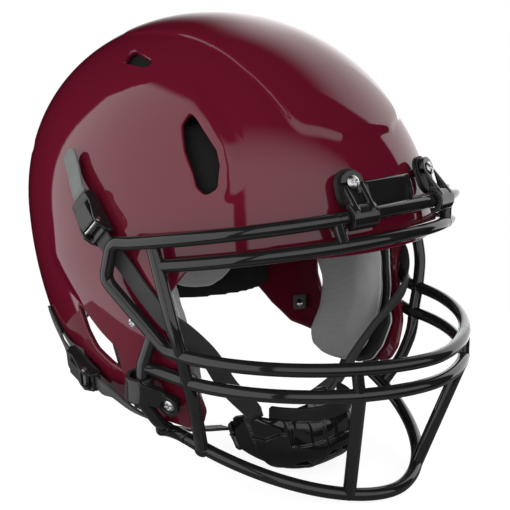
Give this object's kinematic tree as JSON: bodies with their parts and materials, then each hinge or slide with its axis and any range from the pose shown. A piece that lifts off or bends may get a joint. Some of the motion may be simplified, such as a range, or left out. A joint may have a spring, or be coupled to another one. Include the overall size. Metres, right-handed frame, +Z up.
{
  "type": "football helmet",
  "caption": "Adult football helmet: glossy maroon shell with raised panels, black wire face guard, strap-hung chin cup, strap buckles and a padded liner.",
  "frame": {"origin": "middle of the bounding box, on the floor under the chin bar", "axes": "+Z up through the crown, -Y out through the face opening, -X to the wearer's right"},
  "size_m": [0.2644, 0.3363, 0.2929],
  "materials": {
    "shell_plastic": "polished",
    "coated_wire": "glossy coating",
    "black_plastic": "glossy",
    "spacer_rubber": "matte",
    "screw_steel": "satin",
    "strap_webbing": "woven",
    "grey_cushion": "soft",
    "black_cushion": "soft",
    "carrier_plastic": "matte"
  },
  "bodies": {
    "helmet": {"shell": "shell_plastic", "front_bumper": "black_plastic", "bumper_screws": "screw_steel", "face_guard": "coated_wire", "top_clip_right": "black_plastic", "top_clip_left": "black_plastic", "top_clip_spacers": "spacer_rubber", "top_clip_screws": "screw_steel", "top_clip_nuts": "screw_steel", "side_clip_right": "black_plastic", "side_clip_left": "black_plastic", "side_clip_spacers": "spacer_rubber", "side_clip_screws": "screw_steel", "side_clip_nuts": "screw_steel", "upper_buckle_right": "black_plastic", "upper_buckle_left": "black_plastic", "lower_buckle_right": "black_plastic", "lower_buckle_left": "black_plastic", "lever_pins": "screw_steel", "buckle_screws": "screw_steel", "buckle_nut_plates": "screw_steel", "flank_screws": "screw_steel", "upper_strap_right": "strap_webbing", "upper_strap_left": "strap_webbing", "lower_strap_right": "strap_webbing", "lower_strap_left": "strap_webbing", "crown_pad": "grey_cushion", "front_pad": "grey_cushion", "side_pad_right": "black_cushion", "side_pad_left": "black_cushion", "rear_liner": "black_cushion", "rear_pad_right": "grey_cushion", "rear_pad_left": "grey_cushion", "jaw_carrier_right": "carrier_plastic", "jaw_carrier_left": "carrier_plastic", "jaw_pad_right": "grey_cushion", "jaw_pad_left": "grey_cushion"},
    "upper_right_lever": {"upper_lever_right": "black_plastic"},
    "upper_left_lever": {"upper_lever_left": "black_plastic"},
    "lower_right_lever": {"lower_lever_right": "black_plastic"},
    "lower_left_lever": {"lower_lever_left": "black_plastic"},
    "cup": {"chin_cup": "black_plastic", "chin_cup_pad": "grey_cushion", "chin_cup_band": "black_cushion"}
  },
  "joints": [
    {"name": "upper_right_lever_hinge", "type": "hinge", "parent": "helmet", "child": "upper_right_lever", "pos_m": [-0.12817, -0.00172, 0.16986], "axis": [0.0846, -0.7096, 0.6996], "range_deg": [0, 70]},
    {"name": "upper_left_lever_hinge", "type": "hinge", "parent": "helmet", "child": "upper_left_lever", "pos_m": [0.12817, -0.00172, 0.16986], "axis": [0.0846, 0.7096, -0.6996], "range_deg": [0, 70]},
    {"name": "lower_right_lever_hinge", "type": "hinge", "parent": "helmet", "child": "lower_right_lever", "pos_m": [-0.11181, 0.03241, 0.06253], "axis": [-0.3523, -0.3958, 0.8481], "range_deg": [0, 70]},
    {"name": "lower_left_lever_hinge", "type": "hinge", "parent": "helmet", "child": "lower_left_lever", "pos_m": [0.11181, 0.03241, 0.06253], "axis": [-0.3523, 0.3958, -0.8481], "range_deg": [0, 70]},
    {"name": "cup_swing", "type": "hinge", "parent": "helmet", "child": "cup", "pos_m": [0, -0.04895, 0.0396], "axis": [1, 0, 0], "range_deg": [-6, 6]}
  ]
}
